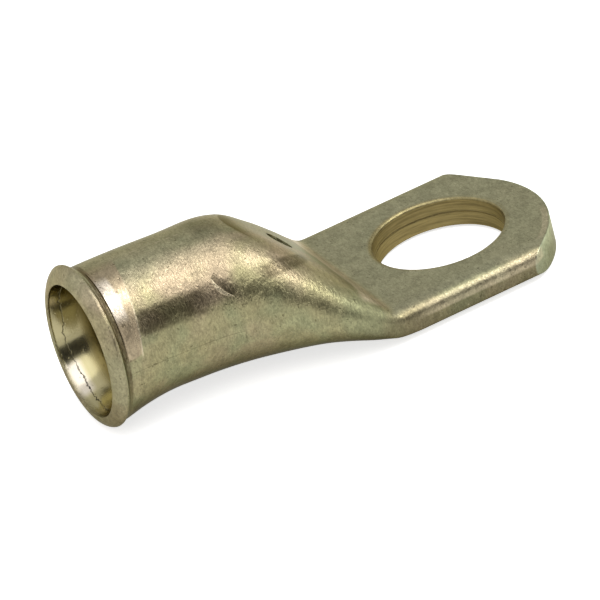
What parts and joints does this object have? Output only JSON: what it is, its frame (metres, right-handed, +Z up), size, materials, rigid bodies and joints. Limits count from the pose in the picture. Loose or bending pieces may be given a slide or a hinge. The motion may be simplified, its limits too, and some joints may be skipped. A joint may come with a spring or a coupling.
{
  "type": "cable lug",
  "caption": "Tube cable lug with a lipped cable mouth, a pressed ramp with a sight hole and a flat tongue pierced for a stud.",
  "frame": {"origin": "centre of the stud hole on the tongue's contact face", "axes": "+X towards the tip of the tongue, away from the cable mouth; +Z up out of the contact face; +Y completes a right-handed set"},
  "size_m": [0.0489, 0.0226, 0.0162],
  "materials": {
    "copper": "satin, dull olive bronze"
  },
  "bodies": {
    "root": {"cable_lug": "copper"}
  },
  "joints": []
}
